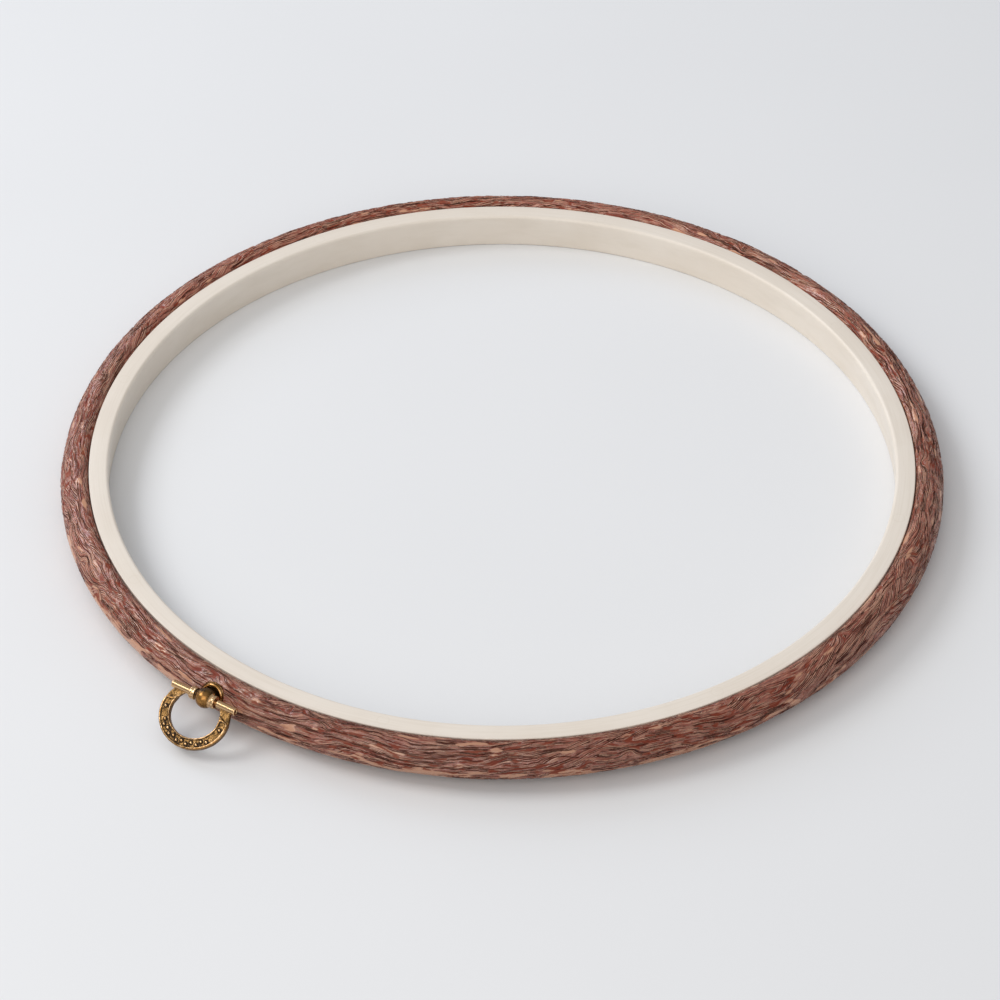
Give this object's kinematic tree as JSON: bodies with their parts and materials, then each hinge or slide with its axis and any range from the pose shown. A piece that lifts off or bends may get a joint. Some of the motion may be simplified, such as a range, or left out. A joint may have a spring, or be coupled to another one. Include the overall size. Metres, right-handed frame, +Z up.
{
  "type": "embroidery hoop",
  "caption": "Round screwless embroidery hoop: rigid inner ring, springy wood-look outer frame and a small hanger with a hinged bail.",
  "frame": {"origin": "middle of the footprint on the table, hanger included, so the ring's centre lies 6.8 mm towards +Y", "axes": "+Z up through the hoop's opening, -Y from the middle of the hoop towards its hanger, +X to the right seen from the hanger's side"},
  "size_m": [0.2354, 0.249, 0.0124],
  "materials": {
    "cream_plastic": "satin",
    "wood_look_vinyl": "satin, moulded burl grain",
    "antique_brass": "antiqued",
    "zinc_steel": "plated"
  },
  "bodies": {
    "inner_ring": {"inner_ring": "cream_plastic"},
    "outer_frame": {"outer_frame": "wood_look_vinyl", "hanger_flange": "antique_brass", "ball_stud": "antique_brass", "stud_washer": "zinc_steel", "stud_nut": "zinc_steel"},
    "bail": {"bail": "antique_brass", "hinge_pin": "antique_brass"}
  },
  "joints": [
    {"name": "frame_lift", "type": "slide", "parent": "inner_ring", "child": "outer_frame", "axis": [0, 0, 1], "range_m": [0, 0.015]},
    {"name": "bail_swing", "type": "hinge", "parent": "outer_frame", "child": "bail", "pos_m": [0.0009, -0.11281, 0.00987], "axis": [-0.9954, -0.0958, 0], "range_deg": [-62, 182]}
  ]
}
